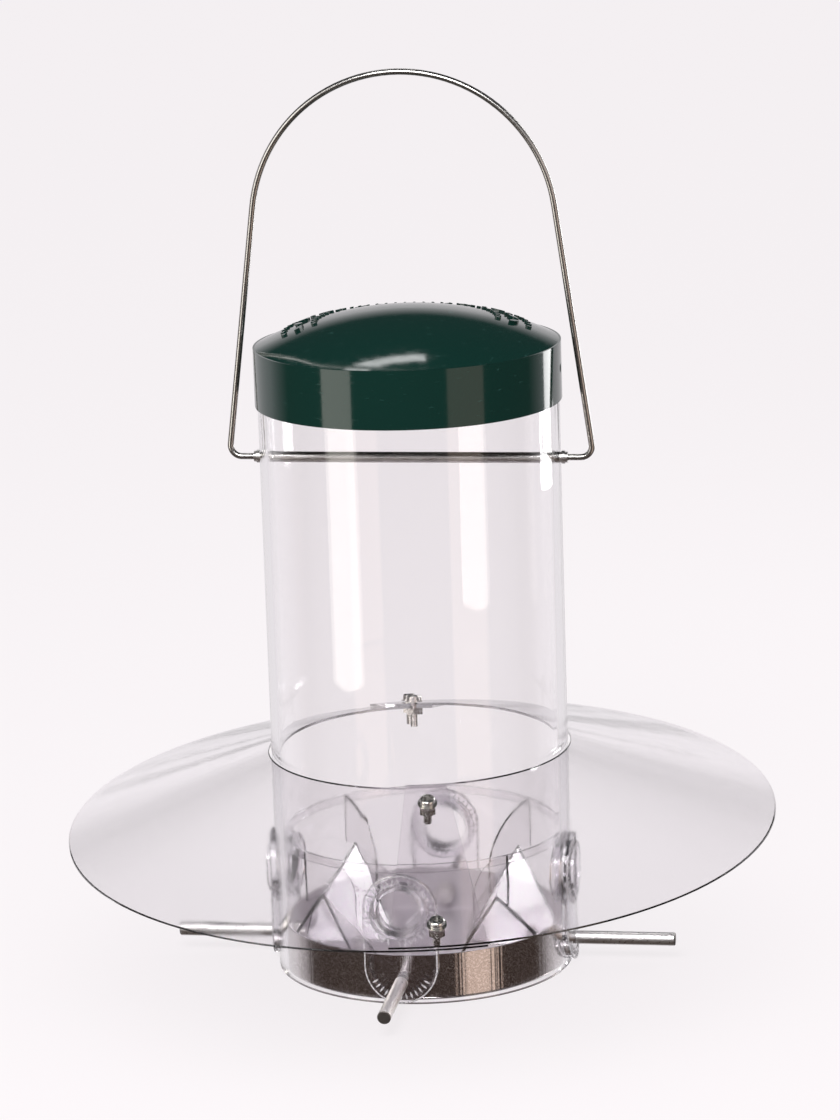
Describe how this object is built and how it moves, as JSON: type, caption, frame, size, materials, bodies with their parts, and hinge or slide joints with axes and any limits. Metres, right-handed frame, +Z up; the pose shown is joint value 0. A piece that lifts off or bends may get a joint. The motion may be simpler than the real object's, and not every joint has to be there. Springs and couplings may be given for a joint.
{
  "type": "hanging seed feeder",
  "caption": "Clear tube feeder for small birds with domed cap, wire bail, clear rain guard, round feeding ports, rod perches and a polished base pan.",
  "frame": {"origin": "middle of the lower end of the tube, where the feeder stands on a flat surface", "axes": "+Z up along the tube, +X along the crossbar, -Y towards the front port"},
  "size_m": [0.263, 0.263, 0.3334],
  "materials": {
    "clear_plastic": "clear polycarbonate, polished",
    "green_plastic": "dark green, high gloss",
    "steel_wire": "drawn bright wire",
    "aluminium": "mill finish",
    "polished_steel": "polished stainless steel",
    "plated_steel": "bright zinc plated"
  },
  "bodies": {
    "feeder": {"feeder_tube": "clear_plastic", "crossbar": "aluminium", "base_pan": "polished_steel", "seed_divider": "clear_plastic", "port_plate_front": "clear_plastic", "port_plate_back": "clear_plastic", "port_plate_left": "clear_plastic", "port_plate_right": "clear_plastic", "port_bezel_front": "clear_plastic", "port_bezel_back": "clear_plastic", "port_bezel_left": "clear_plastic", "port_bezel_right": "clear_plastic", "perch_front": "aluminium", "perch_back": "aluminium", "perch_left": "aluminium", "perch_right": "aluminium", "perch_nuts": "plated_steel"},
    "bail": {"bail": "steel_wire"},
    "cap": {"cap": "green_plastic"},
    "rain_guard": {"guard_half_left": "clear_plastic", "guard_half_right": "clear_plastic", "guard_screws": "plated_steel", "guard_washers": "plated_steel", "guard_nuts": "plated_steel"}
  },
  "joints": [
    {"name": "bail_swing", "type": "hinge", "parent": "feeder", "child": "bail", "pos_m": [0, 0, 0.1915], "axis": [1, 0, 0], "range_deg": [-130, 130]},
    {"name": "cap_lift", "type": "slide", "parent": "feeder", "child": "cap", "axis": [0, 0, 1], "range_m": [0, 0.021]},
    {"name": "guard_slide", "type": "slide", "parent": "feeder", "child": "rain_guard", "axis": [0, 0, 1], "range_m": [-0.03, 0.02]}
  ]
}
